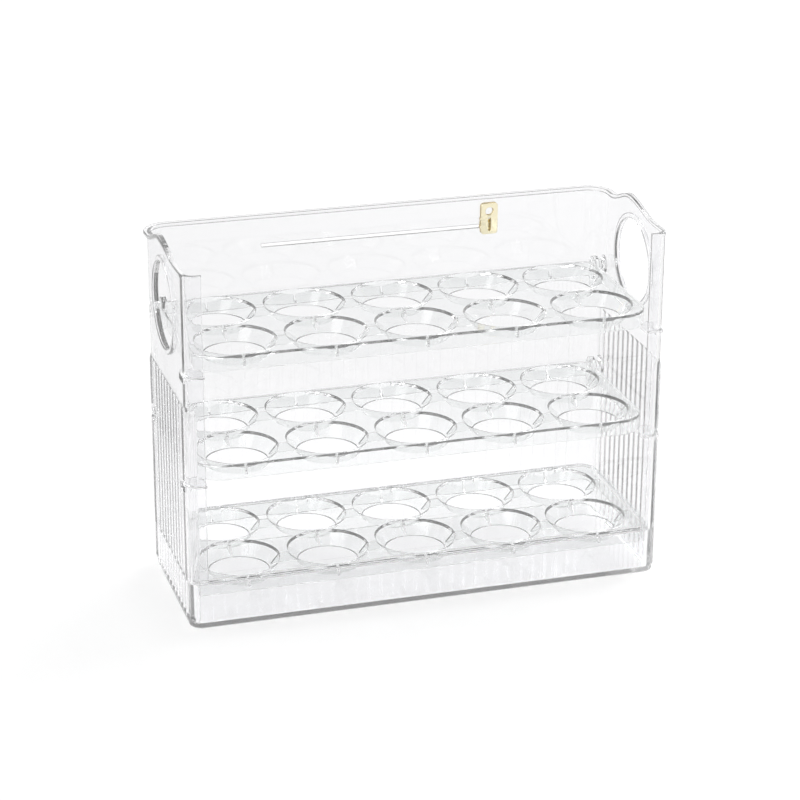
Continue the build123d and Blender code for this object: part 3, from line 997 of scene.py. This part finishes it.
class EGGHOLDER_OT_marker(bpy.types.Operator):
    """Gold date marker that slides in the slot"""

    bl_idname = "eggholder.marker"
    bl_label = "Date marker"

    def execute(self, context):
        finish = context.scene.egg_marker
        piece = copy_of("date_marker", "date_marker_tab")
        bevel_edges(piece, lambda edge: is_corner(edge, 50), finish.edge_round, 2)
        smooth(piece, 40)
        gold = gold_plating("satin gold plating", finish.colour, finish.edge_colour)
        dress(piece, gold, "date_marker", "date_marker")
        return {"FINISHED"}


class EGGHOLDER_OT_stage(bpy.types.Operator):
    """Paper sweep, soft lamps, background and camera"""

    bl_idname = "eggholder.stage"
    bl_label = "Stage"

    def execute(self, context):
        settings = context.scene.egg_stage
        # A hair under the base, so that floor and base don't touch.
        bpy.ops.mesh.primitive_plane_add(size=14.0, location=(0.0, 0.0, -0.4 * MM))
        floor = named("paper_sweep")
        floor.data.materials.append(paper_sweep("white seamless paper", settings.floor_colour))

        # Softboxes: place, size and strength in watts. All aim at the middle of the holder.
        target = Vector((0.0, 0.0, 0.08))
        for name, place, size, power in (
            ("key_softbox", (1.5, 1.0, 1.9), 1.3, 26.0),
            ("fill_softbox", (-1.6, -1.2, 1.8), 1.6, 12.0),
        ):
            bpy.ops.object.light_add(type="AREA", location=place)
            lamp = bpy.context.object
            lamp.name = name
            lamp.data.size = size
            lamp.data.energy = power
            lamp.rotation_euler = (target - Vector(place)).to_track_quat("-Z", "Y").to_euler()

        world = bpy.data.worlds.new("studio")
        context.scene.world = world
        world.use_nodes = True
        tree = world.node_tree
        tree.nodes.clear()
        way = node(tree, "ShaderNodeTexCoord").outputs["Generated"]
        height = node(tree, "ShaderNodeSeparateXYZ", Vector=way).outputs["Z"]
        # The room is white up to a little over eye level and darker above.
        dark = node(
            tree, "ShaderNodeMapRange", Value=height, From_Min=0.30, From_Max=0.62, To_Min=1.0, To_Max=0.6
        )
        room = node(tree, "ShaderNodeBackground", Color=(1.0, 1.0, 1.0, 1.0), Strength=dark.outputs["Result"])
        white = node(tree, "ShaderNodeBackground", Color=(1.0, 1.0, 1.0, 1.0), Strength=1.0)
        path = node(tree, "ShaderNodeLightPath")
        mix = node(tree, "ShaderNodeMixShader", i0=path.outputs["Is Camera Ray"])
        tree.links.new(room.outputs[0], mix.inputs[1])
        tree.links.new(white.outputs[0], mix.inputs[2])
        node(tree, "ShaderNodeOutputWorld", Surface=mix.outputs[0])

        bpy.ops.object.camera_add()
        camera = bpy.context.object
        camera.name = "photo_camera"
        camera.data.lens = settings.focal_length
        camera.data.sensor_width = 36.0
        camera.data.clip_end = 100.0
        right, down, roll = settings.camera_turn
        turn = (
            Matrix.Rotation(-right, 4, "Z")
            @ Matrix.Rotation(QUARTER - down, 4, "X")
            @ Matrix.Rotation(roll, 4, "Z")
        )
        camera.matrix_world = Matrix.Translation(settings.camera_place) @ turn
        context.scene.camera = camera
        context.scene.view_settings.view_transform = "Standard"
        # Clear walls stand behind each other, so a ray needs many passes.
        context.scene.cycles.max_bounces = 28
        context.scene.cycles.transmission_bounces = 28
        context.scene.cycles.transparent_max_bounces = 48
        return {"FINISHED"}


class EGGHOLDER_PT_panel(bpy.types.Panel):
    """Egg holder pieces in the sidebar"""

    bl_label = "Egg holder"
    bl_idname = "EGGHOLDER_PT_panel"
    bl_space_type = "VIEW_3D"
    bl_region_type = "UI"
    bl_category = "Egg holder"

    def draw(self, context):
        for operator in PIECES:
            self.layout.operator(operator.bl_idname)
        for group in GROUPS:
            box = self.layout.box()
            settings = getattr(context.scene, group)
            for key in settings.__annotations__:
                box.prop(settings, key)


PIECES = (
    EGGHOLDER_OT_case,
    EGGHOLDER_OT_tilting_trays,
    EGGHOLDER_OT_bottom_tray,
    EGGHOLDER_OT_marker,
    EGGHOLDER_OT_stage,
)
GROUPS = {
    "egg_case": CaseSizes,
    "egg_trays": TraySizes,
    "egg_marker": MarkerFinish,
    "egg_stage": StageSettings,
}


def register():
    """Register the classes and give the scene its settings."""
    for item in (*GROUPS.values(), *PIECES, EGGHOLDER_PT_panel):
        bpy.utils.register_class(item)
    for key, group in GROUPS.items():
        setattr(bpy.types.Scene, key, PointerProperty(type=group))


def unregister():
    """Take the settings and classes out again."""
    for key in GROUPS:
        delattr(bpy.types.Scene, key)
    for item in reversed((*GROUPS.values(), *PIECES, EGGHOLDER_PT_panel)):
        bpy.utils.unregister_class(item)


def main():
    register()
    bpy.ops.eggholder.case()
    bpy.ops.eggholder.tilting_trays()
    bpy.ops.eggholder.bottom_tray()
    bpy.ops.eggholder.marker()
    bpy.ops.eggholder.stage()


if __name__ == "__main__":
    main()
